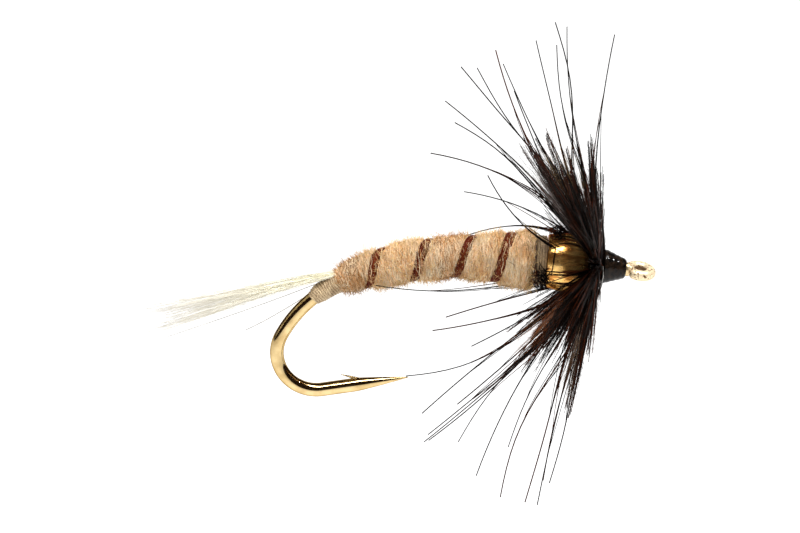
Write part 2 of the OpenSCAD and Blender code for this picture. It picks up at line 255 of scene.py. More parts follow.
class Nodes:
    """Short ways to add nodes to the tree of a material or the world."""

    def __init__(self, tree):
        self.tree = tree

    def add(self, kind, **settings):
        node = self.tree.nodes.new("ShaderNode" + kind)
        for key, value in settings.items():
            setattr(node, key, value)
        return node

    def set(self, node, **values):
        for key, value in values.items():
            node.inputs[key].default_value = value

    def link(self, source, target):
        self.tree.links.new(source, target)

    def attribute(self, name):
        return self.add("Attribute", attribute_name=name).outputs["Fac"]

    def coordinates(self, stretch=(1.0, 1.0, 1.0)):
        """The object's own coordinates in millimetres, stretched."""
        mapping = self.add("Mapping")
        mapping.inputs["Scale"].default_value = [k / MM for k in stretch]
        self.link(self.add("TexCoord").outputs["Object"], mapping.inputs["Vector"])
        return mapping.outputs["Vector"]

    def axis(self, vector, name):
        node = self.add("SeparateXYZ")
        self.link(vector, node.inputs["Vector"])
        return node.outputs[name]

    def length(self, vector):
        node = self.add("VectorMath", operation="LENGTH")
        self.link(vector, node.inputs[0])
        return node.outputs["Value"]

    def noise(self, per_mm, detail=3.0, vector=None):
        node = self.add("TexNoise")
        self.set(node, Scale=per_mm, Detail=detail, Roughness=0.5)
        self.link(vector or self.coordinates(), node.inputs["Vector"])
        return node.outputs["Fac"]

    def ramp(self, factor, stops):
        """Colours at places from 0 to 1 along factor. The stops start with the two ends."""
        node = self.add("ValToRGB")
        elements = node.color_ramp.elements
        for i, (place, colour) in enumerate(stops):
            element = elements[i] if i < 2 else elements.new(place)
            element.position = place
            element.color = (*colour, 1.0)
        self.link(factor, node.inputs["Fac"])
        return node.outputs["Color"]

    def mix(self, factor, first, second, blend="MIX"):
        """Each of the three is a constant or a socket."""
        node = self.add("Mix", data_type="RGBA", blend_type=blend)
        for socket, value in zip((node.inputs["Factor"], node.inputs[6], node.inputs[7]),
                                 (factor, first, second)):
            if isinstance(value, (int, float)):
                socket.default_value = value
            elif isinstance(value, tuple):
                socket.default_value = (*value, 1.0)
            else:
                self.link(value, socket)
        return node.outputs[2]

    def span(self, factor, low, high, from_low=0.0, from_high=1.0, curve="LINEAR"):
        """factor's range from from_low to from_high, moved to low to high."""
        node = self.add("MapRange", interpolation_type=curve)
        self.set(node, **{"From Min": from_low, "From Max": from_high, "To Min": low, "To Max": high})
        self.link(factor, node.inputs["Value"])
        return node.outputs["Result"]

    def times(self, first, second):
        node = self.add("Math", operation="MULTIPLY")
        self.link(first, node.inputs[0])
        self.link(second, node.inputs[1])
        return node.outputs["Value"]

    def times_plus(self, first, factor, added):
        node = self.add("Math", operation="MULTIPLY_ADD")
        node.inputs[1].default_value = factor
        self.link(first, node.inputs[0])
        self.link(added, node.inputs[2])
        return node.outputs["Value"]


class Material(Nodes):
    """A Principled material."""

    def __init__(self, name, rough, metallic=0.0, specular=0.5, coat=0.0, coat_rough=0.05,
                 sheen=0.0):
        self.data = bpy.data.materials.new(name)
        self.data.use_nodes = True
        super().__init__(self.data.node_tree)
        self.shader = self.tree.nodes["Principled BSDF"]
        self.set(self.shader, Roughness=rough, Metallic=metallic)
        self.set(self.shader, **{"Specular IOR Level": specular, "Coat Weight": coat,
                                 "Coat Roughness": coat_rough, "Sheen Weight": sheen})

    def colour(self, source):
        self.link(source, self.shader.inputs["Base Color"])

    def roughness(self, source):
        self.link(source, self.shader.inputs["Roughness"])

    def bump(self, height, depth_mm, strength=1.0):
        node = self.add("Bump")
        self.set(node, Distance=depth_mm * MM, Strength=strength)
        self.link(height, node.inputs["Height"])
        self.link(node.outputs["Normal"], self.shader.inputs["Normal"])


def gold_material(name, light, dark, edge, rough, stretch, dent):
    """Gilding with lighter and darker patches, a browner edge and fine drawn marks.

    Gives the material, its plated colour and its uneven roughness."""
    m = Material(name, rough=rough, metallic=1.0)
    m.set(m.shader, **{"Specular Tint": (*edge, 1.0)})
    m.bump(m.noise(7.0, detail=4.0, vector=m.coordinates(stretch)), dent, 0.4)
    plate = m.mix(m.span(m.noise(1.8), 0, 1, 0.35, 0.65), light, dark)
    wear = m.span(m.noise(4.0), rough * 0.7, rough * 1.4, 0.3, 0.7)
    return m, plate, wear


def gold_wire_material():
    """Gilt wire, which is paler, duller and specked with brown tarnish at the eye, with painted shade
    darkening the inside of the eye's hole.
    """
    m, plate, wear = gold_material("gilt_wire", (0.73, 0.55, 0.28), (0.54, 0.38, 0.17),
                                   (0.28, 0.19, 0.11), 0.1, (1.0, 3.0, 1.0), 0.002)
    at_eye = m.span(m.axis(m.coordinates(), "X"), 0, 1, -0.75, -0.35)
    # painted shade: the inner wall of the eye's hole is coloured dark brown, where shade falls in the
    # hole
    hole_painted_shade = m.span(m.length(m.coordinates()), 0.9, 0, 0.29, 0.35)
    speck = m.span(m.noise(12.0, detail=1.0), 0, 1, 0.60, 0.64)
    worn = m.mix(at_eye, plate, (0.87, 0.70, 0.46))
    specked = m.mix(m.times(at_eye, speck), worn, (0.10, 0.04, 0.012))
    m.colour(m.mix(hole_painted_shade, specked, (0.09, 0.04, 0.015)))
    m.link(m.span(at_eye, 1.0, 0.45), m.shader.inputs["Metallic"])
    m.roughness(m.times_plus(at_eye, 0.2, wear))
    return m.data


def gold_cone_material():
    """Gilt cone, with painted brown reflection streaks of the dark barbs along its length."""
    m, plate, wear = gold_material("gilt_cone", (0.98, 0.62, 0.22), (0.88, 0.44, 0.10),
                                   (0.45, 0.20, 0.06), 0.2, (0.35, 2.0, 2.0), 0.010)
    # painted reflection: brown streaks along the cone stand in for the dark barbs mirrored in the gold
    painted_reflection_streak = m.noise(3.2, detail=2.0, vector=m.coordinates((0.22, 1.5, 1.5)))
    m.colour(m.mix(m.span(painted_reflection_streak, 0, 0.85, 0.50, 0.58), plate, (0.42, 0.15, 0.03)))
    m.roughness(wear)
    m.set(m.shader, Metallic=0.9)
    return m.data


def fibre_material(name, root, middle, tip, other, share, rough=0.55, specular=0.25,
                   mottle=0.23):
    """Hair, barb or floss: three colours along it, and a share of strands in the other colour."""
    m = Material(name, rough=rough, specular=specular)
    shade = m.ramp(m.attribute("along"), ((0.0, root), (1.0, tip), (0.5, middle)))
    odd = m.span(m.attribute("tint"), 0, 1, 1 - share - 0.08, 1 - share + 0.08)
    patch = m.span(m.noise(1.2), 0.95 - mottle, 0.95 + mottle, 0.3, 0.7)
    grey = m.add("CombineColor")
    for key in ("Red", "Green", "Blue"):
        m.link(patch, grey.inputs[key])
    m.colour(m.mix(1.0, m.mix(odd, shade, other), grey.outputs["Color"], "MULTIPLY"))
    m.roughness(m.span(m.noise(20.0), rough - 0.1, rough + 0.1, 0.3, 0.7))
    return m.data


def fur_material():
    """Dubbed fur: cream, grey-tan and ochre fibres in soft patches."""
    m = Material("dubbing_fur", rough=0.8, specular=0.12, sheen=0.1)
    cream, tan, ochre = (0.96, 0.76, 0.48), (0.72, 0.48, 0.23), (0.54, 0.25, 0.07)
    peach, brown, grey = (0.86, 0.48, 0.23), (0.15, 0.055, 0.015), (0.66, 0.56, 0.40)
    strand = m.ramp(m.attribute("tint"), ((0.0, cream), (1.0, brown), (0.26, tan), (0.46, cream),
                                          (0.66, grey), (0.80, peach), (0.88, ochre)))
    patch = m.mix(m.span(m.noise(1.3), 0, 0.6, 0.5, 0.66), strand, ochre)
    faded = m.mix(m.span(m.noise(0.7, detail=2.0), 0, 0.5, 0.52, 0.7), patch, grey)
    m.colour(faded)
    m.roughness(m.span(m.noise(16.0), 0.68, 0.9, 0.3, 0.7))
    return m.data


def thread_material(name, light, dark, rough=0.5):
    """Waxed tying thread: fine fibres that twist along it, with lighter and darker ones."""
    m = Material(name, rough=rough, specular=0.4)
    grain = m.noise(26.0, detail=4.0)
    turn = m.noise(2.2, detail=4.0, vector=m.coordinates((1.8, 0.7, 0.9)))
    grimy = m.mix(m.span(turn, 0, 0.75, 0.45, 0.65), light, dark)
    m.colour(m.mix(m.span(grain, 0, 1, 0.35, 0.65), dark, grimy))
    m.roughness(m.span(m.noise(9.0), rough - 0.12, rough + 0.12, 0.3, 0.7))
    m.bump(grain, 0.008, 0.6)
    return m.data


def varnish_material():
    """Black gloss varnish, brownish and rougher in places, with a few lumps."""
    m = Material("head_varnish_gloss", rough=0.4, specular=0.03, coat=0.28, coat_rough=0.03)
    m.colour(m.mix(m.span(m.noise(5.0), 0, 1, 0.4, 0.66), (0.001, 0.001, 0.001),
                   (0.016, 0.009, 0.005)))
    m.roughness(m.span(m.noise(14.0), 0.2, 0.45, 0.3, 0.7))
    m.bump(m.noise(5.0, detail=2.0), 0.012, 0.5)
    return m.data


GOLD_WIRE = gold_wire_material()
GOLD_CONE = gold_cone_material()
TAN_THREAD = thread_material("tan_waxed_thread", (0.66, 0.51, 0.31), (0.22, 0.14, 0.07))
COLLAR_THREAD = thread_material("grimy_waxed_thread", (0.38, 0.26, 0.14), (0.10, 0.06, 0.03))
DARK_THREAD = thread_material("dark_waxed_thread", (0.10, 0.05, 0.03), (0.03, 0.015, 0.01))
BLACK_THREAD = thread_material("black_waxed_thread", (0.02, 0.02, 0.02), (0.005, 0.005, 0.005),
                               rough=0.3)
VARNISH = varnish_material()
FUR = fur_material()
RIB = fibre_material("rib_floss", (0.085, 0.010, 0.002), (0.06, 0.007, 0.0015),
                     (0.085, 0.010, 0.002), (0.16, 0.035, 0.008), 0.15, rough=0.45, specular=0.06)
FUZZ = fibre_material("dubbing_fuzz", (0.82, 0.58, 0.28), (0.74, 0.50, 0.22), (0.66, 0.46, 0.22),
                      (0.36, 0.18, 0.06), 0.3, rough=0.7, specular=0.1)
GUARD_HAIR = fibre_material("guard_hair_brown", (0.16, 0.07, 0.035), (0.14, 0.07, 0.04),
                            (0.2, 0.13, 0.09), (0.05, 0.03, 0.02), 0.4)
TAIL = fibre_material("tail_cream", (0.90, 0.85, 0.60), (0.80, 0.76, 0.62), (0.56, 0.53, 0.48),
                      (0.70, 0.67, 0.58), 0.3, specular=0.15, mottle=0.05)
BARB = fibre_material("hackle_barb", (0.0015, 0.0008, 0.0006), (0.002, 0.001, 0.0008),
                      (0.008, 0.006, 0.005), (0.045, 0.010, 0.003), 0.25, rough=0.5, specular=0.03)
WEB = fibre_material("hackle_web", (0.002, 0.001, 0.001), (0.004, 0.003, 0.002),
                     (0.022, 0.018, 0.017), (0.045, 0.012, 0.004), 0.2, rough=0.6, specular=0.03)
WARM_DOWN = fibre_material("hackle_down_brown", (0.008, 0.003, 0.0015), (0.10, 0.035, 0.009),
                           (0.32, 0.22, 0.11), (0.22, 0.06, 0.014), 0.4, rough=0.7, specular=0.1)
DOWN = fibre_material("hackle_down_grey", (0.05, 0.04, 0.035), (0.14, 0.12, 0.11),
                      (0.26, 0.24, 0.23), (0.12, 0.07, 0.03), 0.3, rough=0.7, specular=0.15)
QUILL = fibre_material("quill_horn", (0.02, 0.014, 0.012), (0.03, 0.02, 0.016),
                       (0.02, 0.014, 0.012), (0.05, 0.03, 0.02), 0.2, rough=0.3, specular=0.5)
# painted glint: the trimmed quill end is coloured pale grey to stand for its shine
GLINT_PAINTED_QUILL = fibre_material("quill_painted_glint", (0.5, 0.48, 0.44), (0.62, 0.6, 0.56), (0.3, 0.28, 0.26),
                            (0.5, 0.48, 0.44), 0.2, rough=0.3, specular=0.5)
GREY_FIBRE = fibre_material("grey_fibre", (0.42, 0.40, 0.37), (0.40, 0.38, 0.35),
                            (0.62, 0.60, 0.57), (0.48, 0.45, 0.42), 0.3, specular=0.15)


# ---- hook ----

HOOK_LENGTH = sum(math.radians(turn) * radius for turn, radius in HOOK_ARCS)
HOOK_SIDES = 40


def wire_mesh():
    """Shank, bend and spear, with the spear ground down to its point."""
    places = np.arange(EYE_LOOP_R, HOOK_LENGTH, 0.06)
    start, heading, _ = shank(HOOK_LENGTH)
    along = np.concatenate([[0.0], np.linspace(0.3, SPEAR_L, 60)])
    path = np.concatenate([shank(places)[0], start + along[:, None] * heading])
    ground = np.clip((along - (SPEAR_L - POINT_L)) / POINT_L, 0, 1)
    spear_r = WIRE_R * (1 - ground ** 1.15 * 0.93)
    radii = np.concatenate([np.full(len(places), WIRE_R), spear_r])
    return tube_mesh(path[None], radii[None], HOOK_SIDES, ref=ACROSS)


def eye_mesh():
    """The loop, which stands off the shank's line by its droop and twist, with rounded ends."""
    points, slit, rounding = 120, 2.5, 6.0
    at = np.radians(np.linspace(EYE_WIRE_END + slit, EYE_WIRE_END + 360 - slit, points))
    loop = EYE_LOOP_R * np.stack([np.cos(at), np.sin(at), np.zeros_like(at)], -1)
    twist, droop = math.radians(EYE_TWIST), math.radians(EYE_DROOP)
    about_x = np.array([[1, 0, 0], [0, math.cos(twist), -math.sin(twist)],
                        [0, math.sin(twist), math.cos(twist)]])
    about_y = np.array([[math.cos(droop), 0, math.sin(droop)], [0, 1, 0],
                        [-math.sin(droop), 0, math.cos(droop)]])
    turned = about_y @ about_x
    from_end = np.minimum(np.arange(points), np.arange(points)[::-1]) / rounding
    radii = EYE_WIRE_R * np.sqrt(1 - np.clip(1 - from_end, 0, 0.98) ** 2)
    upright = turned @ np.array([0.0, 0.0, 1.0])
    return tube_mesh((loop @ turned.T)[None], radii[None], HOOK_SIDES, ref=upright)


def barb_mesh():
    """The barb, a sliver raised from the inner side of the wire."""
    start, heading, outward = shank(HOOK_LENGTH)
    lift = math.radians(BARB_LIFT)
    root = start + heading * (SPEAR_L - POINT_L + 0.3) - outward * WIRE_R * 0.55
    way = -heading * math.cos(lift) - outward * math.sin(lift)
    t = np.linspace(0, 1, 12)
    path = root + t[:, None] * BARB_L * way + (t ** 2)[:, None] * outward * 0.05
    return tube_mesh(path[None], (0.1 * (1 - t * 0.85))[None], 16, ref=ACROSS)


def hook():
    """The gilt wire with its eye and barb, as one piece."""
    verts, faces, base = [], [], 0
    for part_verts, part_faces, _ in (wire_mesh(), eye_mesh(), barb_mesh()):
        verts.append(part_verts)
        faces += [[i + base for i in face] for face in part_faces]
        base += len(part_verts)
    new_piece("gilt_hook", np.concatenate(verts), faces, GOLD_WIRE, ["hook"])


# ---- thread ----

def thread_winding(name, first, last, radius_at, material, replaced, wobble, seed):
    """One thread wound from place first to place last, at a radius that depends on the place."""
    turns = abs(last - first) / THREAD_PITCH
    share = np.linspace(0, 1, int(turns * 40))
    s = first + (last - first) * share
    axis = shank(s)[1]
    path = around(s, radius_at(s), 360 * turns * share)
    path = path + wobble * lumps(path, 0.5, seed)[:, None] * axis
    radii = THREAD_R * (1 + 0.06 * lumps(path, 0.25, seed + 1))
    strands(name, path[None], radii[None], material, replaced, sides=8,
            ref=axis[None], flat=0.8)


def rear_wrap_r(s):
    """Outer radius of the bare thread wraps behind the body."""
    t = (s - BODY_REAR) / REAR_WRAP_L
    return WIRE_R + np.interp(t, [0, 0.75, 1], [0.19, 0.14, 0.05])


def rear_wraps():
    """Tan thread wound on the bare wire behind the body, over a core that fills the gaps."""
    first, last = BODY_REAR - 0.2, BODY_REAR + REAR_WRAP_L
    s, a = skin_grid(np.linspace(first, last, 27), 64)
    surface("rear_wrap_core", around(s, rear_wrap_r(s) - 0.05, a), TAN_THREAD)
    thread_winding("rear_thread_windings", first, last, lambda s: rear_wrap_r(s) - THREAD_R * 0.7,
                   TAN_THREAD, ["rear_thread_wraps"], 0.02, 1)


def collar():
    """Grimy thread wound behind the cone, over a core that fills the gaps."""
    first, last = CONE_FRONT + CONE_L + 0.02, COLLAR_REAR
    inner_r, core_r, width = 0.4, COLLAR_R - 0.07, last - first
    profile = [(inner_r, 0), (core_r - 0.02, 0), (core_r, 0.03),
               (core_r, width - 0.03), (core_r - 0.02, width), (inner_r, width)]
    surface("collar_core", lathe_points(first, profile, 96), COLLAR_THREAD)
    thread_winding("collar_windings", first + THREAD_R, last - THREAD_R * 0.6,
                   lambda s: np.full_like(s, COLLAR_R - THREAD_R * 0.9), COLLAR_THREAD,
                   ["thread_collar"], 0.01, 5)


# ---- body ----

def body_r(s):
    """Mean radius of the fur."""
    return np.interp(s, [BODY_FRONT, 6.6, 8.5, 11.4, 12.4, 13.3, BODY_REAR],
                     [1.34, 1.13, 0.91, 0.89, 0.82, 0.69, 0.58])


def rib_place(turn):
    """Place of the rib after so many turns, which close up a little towards the front."""
    return RIB_START - RIB_STEP * turn + RIB_CLOSING * turn * turn


def rib_distance(s, a):
    """Distance along the shank to the nearest pass of the rib at angle a."""
    share = ((a + 90) / 360) % 1.0
    turns = share[..., None] + np.arange(-1, 5)
    reach = np.where((turns >= RIB_FIRST) & (turns <= RIB_LAST), rib_place(turns), 99.0)
    return np.abs(s[..., None] - reach).min(-1)


def fur_r(s, a):
    """Radius of the fur: swollen between the ribs, pinched under them, and a little uneven."""
    d = rib_distance(s, a)
    pinch = 0.16 * np.exp(-(d / 0.26) ** 2)
    swell = 0.05 * np.clip(d / 0.7, 0, 1)
    uneven = 0.035 * lumps(around(s, body_r(s), a), 0.8, 17)
    rear = 0.14 * np.exp(-((s - BODY_REAR) / 0.35) ** 2)
    front = 0.16 * np.exp(-((s - BODY_FRONT) / 0.25) ** 2)
    return body_r(s) + swell - pinch + uneven - rear - front


def fur_core():
    """The felted fur under the loose fibres."""
    s, a = skin_grid(np.linspace(BODY_FRONT, BODY_REAR, 240), 120)
    radius = fur_r(s, a) - 0.03
    fine = 0.012 * lumps(around(s, radius, a), 0.16, 19, waves=16)
    surface("fur_core", around(s, radius + fine, a), FUR, ["dubbed_body"])


def fur_fibres(name, first, last, count, seed):
    """Fine fur wound round the body with its ends lifting off. A few hairs bridge the ribs."""
    rng = np.random.default_rng(seed)
    t = np.linspace(0, 1, 8)
    start = rng.uniform(0, 360, count)[:, None]
    sweep = rng.uniform(35, 120, count)[:, None] * rng.choice([-1, 1], count)[:, None]
    slant = rng.normal(0.0, 0.16, count)[:, None]
    s = rng.uniform(first, last, count)[:, None] + slant * (t - 0.5) * 2
    s = np.clip(s + 0.03 * np.sin(9 * t + start), BODY_FRONT - 0.02, BODY_REAR + 0.05)
    a = start + sweep * t
    lift = rng.uniform(-0.02, 0.06, count)[:, None]
    bridge = 0.19 * np.exp(-(rib_distance(s, a) / 0.3) ** 2)
    lift = lift + bridge * (rng.random(count) < 0.035)[:, None]
    flare = np.abs(rng.normal(0, 0.13, count))[:, None] * np.clip((t - 0.6) / 0.4, 0, 1) ** 2
    r = fur_r(s, a) + lift + flare
    radii = rng.uniform(0.009, 0.017, count)[:, None] * np.interp(t, [0, 0.3, 1], [0.7, 1, 0.4])
    strands(name, around(s, r, a), radii, FUR, seed=seed)


def fur_fuzz(name, first, last, count, seed):
    """Short loose hairs that stand out of the fur all round."""
    rng = np.random.default_rng(seed)
    t = np.linspace(0, 1, 5)
    s, a = rng.uniform(first, last, count), rng.uniform(0, 360, count)
    length = rng.gamma(3.5, 0.055, count) + 0.08
    root = around(s, fur_r(s, a) - 0.02, a)
    out, back = radial(s, a), shank(s)[1]
    side = np.cross(out, back)
    way = unit(out * rng.uniform(0.25, 1.0, count)[:, None]
               + back * rng.normal(0.1, 0.45, count)[:, None]
               + side * rng.normal(0, 0.6, count)[:, None])
    curl = unit(side * rng.normal(0, 1, count)[:, None] + back * rng.normal(0, 1, count)[:, None])
    path = curling(root, way, 0.35 * curl, length, t)
    strands(name, path, thinning(rng, 0.008, 0.014, count, t), FUZZ, seed=seed)


def guard_hairs():
    """Longer dark hairs that lean back out of the fur."""
    rng = np.random.default_rng(37)
    count = 46
    t = np.linspace(0, 1, 8)
    s = np.sort(rng.uniform(BODY_FRONT + 0.3, BODY_REAR - 0.2, count))
    a = rng.uniform(-180, 180, count)
    length = rng.uniform(0.3, 0.85, count)
    root = around(s, fur_r(s, a) - 0.05, a)
    out, back = radial(s, a), shank(s)[1]
    side = np.cross(out, back)
    way = unit(out + back * rng.uniform(0.1, 1.0, count)[:, None]
               + side * rng.normal(0, 0.5, count)[:, None])
    curl = (back * rng.uniform(-0.1, 0.5, count)[:, None]
            - out * rng.uniform(0, 0.35, count)[:, None])
    path = curling(root, way, curl, length, t)
    radii = thinning(rng, 0.009, 0.014, count, t)
    strands("stray_guard_hairs", path, radii, GUARD_HAIR, ["guard_hairs"], seed=41)


def rib():
    """The flat rib, as a band of fine parallel floss strands."""
    count = 15
    turns = np.linspace(RIB_FIRST, RIB_LAST, 420)
    still = np.zeros_like(turns)
    angle, place = 360 * turns - 90, rib_place(turns)
    width = RIB_W * (1 + 0.10 * lumps(np.stack([turns, still, still], -1), 0.5, 44))
    rng = np.random.default_rng(43)
    paths = []
    for k, share in enumerate(np.linspace(-0.5, 0.5, count)):
        along = np.stack([turns * 9, still + k * 3.1, still], -1)
        wander = 0.016 * lumps(along, 2.0, 47 + k)
        crown = 0.025 * (1 - (2 * share) ** 2)
        height = body_r(place) + 0.01 + crown + 0.014 * rng.uniform(-1, 1)
        paths.append(around(place + share * width + wander, height, angle))
    axis = np.broadcast_to(shank(place)[1], (count, len(turns), 3))
    strands("rib_floss_strands", paths, 0.022, RIB, ["rib_strand"], sides=5, seed=53,
            ref=axis)


# ---- tail ----

def tail():
    """Pale soft fibres: a tight bundle at the body that opens into wisps towards the tips."""
    rng = np.random.default_rng(59)
    wisps, per_wisp, points = 18, 12, 14
    count = wisps * per_wisp
    t = np.linspace(0, 1, points)
    droop = math.radians(TAIL_DROOP)
    level = np.array([-math.cos(droop), 0.0, -math.sin(droop)])

    def each(values, spread):
        return np.repeat(values, per_wisp) + rng.normal(0, spread, count)

    lie = each(np.linspace(-40, 40, wisps), 4)
    root = around(np.full(count, BODY_REAR - 0.5), 0.42, lie)
    out = around(np.full(count, BODY_REAR + 0.02), rng.uniform(0.42, 0.60, count), lie * 0.8)
    up = each(np.linspace(-0.062, 0.062, wisps)[rng.permutation(wisps)], 0.014)
    yaw = each(rng.normal(0, 0.07, wisps), 0.014)
    way = unit(level + np.stack([0 * up, yaw, up], -1))
    short = np.repeat(0.14 * rng.random(wisps), per_wisp) + 0.3 * rng.beta(1.0, 3.0, count)
    length = TAIL_L * (1 - short)
    sag = rng.uniform(0.0, 0.25, count)
    wave = np.repeat(rng.normal(0, 0.05, (wisps, 2)), per_wisp, 0)
    wave = wave + rng.normal(0, 0.02, (count, 2))
    path = out[:, None] + way[:, None] * (length[:, None] * t)[..., None]
    path[..., 1] += wave[:, :1] * np.sin(5 * t)
    path[..., 2] += wave[:, 1:] * np.sin(6 * t) - sag[:, None] * t ** 2
    path = np.concatenate([root[:, None], path], 1)
    radii = rng.uniform(0.006, 0.011, count)[:, None] * np.linspace(1, 0.5, points + 1)
    strands("tail_fibre_bundle", path, radii, TAIL, ["tail_fibres"], sides=4, seed=61)


STRAY_TAIL_FIBRES = (((-16.6, 0.5, -1.45), (-22.3, 0.7, -3.5)),     # (knee, tip)
                     ((-17.1, 0.45, -2.4), (-18.6, 0.5, -3.1)))


def stray_tail_fibres():
    """Two dull fibres that have slipped below the bundle, behind the wire of the bend."""
    t = np.linspace(0, 1, 14)[:, None]
    start = around(BODY_REAR - 0.1, 0.45, 60)
    paths = [bezier(start, np.array(knee), np.array(tip), t) for knee, tip in STRAY_TAIL_FIBRES]
    strands("tail_stray_fibres", paths, 0.02, GREY_FIBRE, sides=4, seed=63)


# ---- gold cone and what is caught behind it ----

CONE_RIM = 0.05
CONE_HOLLOW_R = 0.78
CONE_GROOVE = 1.69          # how far behind the nose a barb has bent round the cone
CONE_SHOULDER = CONE_L * 0.6


def cone_r(behind):
    """Outer radius of the cone at a distance behind its nose."""
    behind = np.asarray(behind, float)
    swell = np.sqrt(1 - (1 - np.clip(behind / CONE_SHOULDER, 0, 1)) ** 2)
    turned_in = np.clip((behind - CONE_SHOULDER) / (CONE_L - CONE_RIM - CONE_SHOULDER), 0, 1)
    return CONE_NOSE_R + (CONE_R - CONE_NOSE_R) * swell + (CONE_BASE_R - CONE_R) * turned_in ** 1.6


def gold_cone():
    """The turned cone, with its rounded rim and the hollow in its back."""
    turn = np.radians(np.linspace(0, 90, 36))
    behind = np.concatenate([CONE_SHOULDER * (1 - np.cos(turn)) + 0.005,
                             np.linspace(CONE_SHOULDER, CONE_L - CONE_RIM, 10)[1:]])
    nose = [(CONE_BORE_R, 0.0), (CONE_NOSE_R - 0.02, 0.0)]
    rim = [(CONE_BASE_R - CONE_RIM * 0.3, CONE_L - CONE_RIM * 0.3),
           (CONE_BASE_R - CONE_RIM, CONE_L)]
    hollow = [(CONE_HOLLOW_R, CONE_L), (CONE_HOLLOW_R, CONE_L - 0.5), (CONE_BORE_R, CONE_L - 0.7)]
    profile = nose + list(zip(cone_r(behind), behind)) + rim + hollow
    grid = lathe_points(CONE_FRONT, profile, 128)
    joined = np.concatenate([grid, grid[:1]])
    surface("gold_cone_polished", joined, GOLD_CONE, ["gold_cone"], capped=False)


def broken_barbs(name, place, height, angle, length, count, seed, replaced=()):
    """A clump of short broken barbs: ranges of place, height over the shank, angle and length."""
    rng = np.random.default_rng(seed)
    t = np.linspace(0, 1, 7)
    s, a = rng.uniform(*place, count), rng.uniform(*angle, count)
    root = around(s, rng.uniform(*height, count), a)
    out, back = radial(s, a), shank(s)[1]
    side = np.cross(out, back)
    way = unit(out * rng.uniform(-0.1, 0.5, count)[:, None]
               + back * rng.uniform(-0.9, 1.2, count)[:, None]
               + side * rng.normal(0, 0.8, count)[:, None])
    reach = rng.uniform(*length, count)
    path = curling(root, way, side * rng.normal(0, 0.5, count)[:, None], reach, t)
    radii = thinning(rng, 0.018, 0.032, count, t)
    strands(name, path, radii, BARB, replaced, sides=5, seed=seed)


def barbs(name, paths, seed, root=0.038, tip=0.014, sides=4, replaced=()):
    """Dark barbs along paths, which thin from radius root to radius tip."""
    rng = np.random.default_rng(seed)
    paths = np.asarray(paths, float)
    t = np.linspace(0, 1, paths.shape[1])
    radii = rng.uniform(0.85, 1.15, len(paths))[:, None] * (root + (tip - root) * t ** 0.8)
    strands(name, paths, radii, BARB, replaced, sides=sides, seed=seed)


# Barbs that lie over the gold, from the hackle back: angle at the front, angle at the rear, the
# place of the rear end, lift
BARBS_OVER_CONE = (
    (-93, -98, 4.75, 0.0), (-97, -104, 4.6, 0.02), (-90, -94, 3.9, 0.03), (-118, -126, 4.7, 0.0),
    (-124, -131, 4.2, 0.0), (-30, -22, 4.3, 0.0), (-38, -34, 4.0, 0.0), (-24, -12, 4.4, 0.02),
)


def barbs_over_cone():
    """Single barbs against the gold. The last is bent round the cone, close to its back."""
    t = np.linspace(0, 1, 16)
    front = CONE_FRONT + 0.02
    paths = []
    for first, last, rear, lift in BARBS_OVER_CONE:
        s = front + (rear - front) * t
        height = cone_r(s - CONE_FRONT) + 0.03 + lift
        paths.append(around(s, height, first + (last - first) * t + 3 * np.sin(math.pi * t)))
    bent = around(CONE_FRONT + CONE_GROOVE + 0.10 * t, cone_r(CONE_GROOVE) + 0.03, -42 - 58 * t)
    barbs("barbs_over_cone", paths + [bent], 69, 0.04, 0.02, sides=6)


def caught_barbs():
    """Broken barbs jammed behind the cone on the near side, and lying over its top."""
    broken_barbs("caught_barb_stubs", (4.42, 4.95), (1.24, 1.36), (-150, -92), (0.2, 0.5), 90, 67,
                 ["caught_barbs"])
    broken_barbs("top_barb_stubs", (3.75, 4.35), (1.36, 1.62), (-26, 20), (0.2, 0.42), 80, 71)


# ---- hackle ----

HACKLE_AT = 2.0             # place of the hackle on the shank
HACKLE_TURNS = (1.80, 2.34) # first and last place of the quill's turns
HACKLE_ROOT_R = 0.5
TILT = math.radians(VIEW_UP)
CENTRE = shank(HACKLE_AT)[0] + np.array([0.1, 0.0, 0.14])


def leaning(lean, reach, side):
    """A vector that, seen from the camera's side, leans back by that angle from upright (past 90
    it hangs) and looks reach long, and that runs side millimetres towards the far side."""
    lean, reach, side = (np.asarray(v, float) for v in (lean, reach, side))
    back = np.sin(np.radians(lean)) * reach
    up = np.cos(np.radians(lean)) * reach
    return np.stack([-back, side, (up - math.sin(TILT) * side) / math.cos(TILT)], -1)


def either(rng, upper, lower, count):
    """Leans drawn from the upper range or the lower one, at even odds."""
    is_upper = rng.random(count) < 0.5
    return np.where(is_upper, rng.uniform(*upper, count), rng.uniform(*lower, count))


def bodyward(lean):
    """The direction square to such a vector, in the same plane, that points to the body's side."""
    lean = np.radians(np.asarray(lean, float))
    sign = np.where(np.cos(lean) >= 0, 1.0, -1.0)
    return -sign[..., None] * np.stack([np.cos(lean), np.zeros_like(lean),
                                        np.sin(lean) / math.cos(TILT)], -1)


def barb_paths(tips, knees, points=12, seed=3):
    """Curved barbs from the hackle's windings, with their tips and knees given from its centre."""
    rng = np.random.default_rng(seed)
    way = unit(knees)
    out = shank(HACKLE_AT)[2]
    a = np.degrees(np.arctan2(way[:, 1], way @ out))
    root = around(rng.uniform(*HACKLE_TURNS, len(tips)), HACKLE_ROOT_R, a)
    t = np.linspace(0, 1, points)[None, :, None]
    return bezier(root[:, None], (CENTRE + knees)[:, None], (CENTRE + tips)[:, None], t)
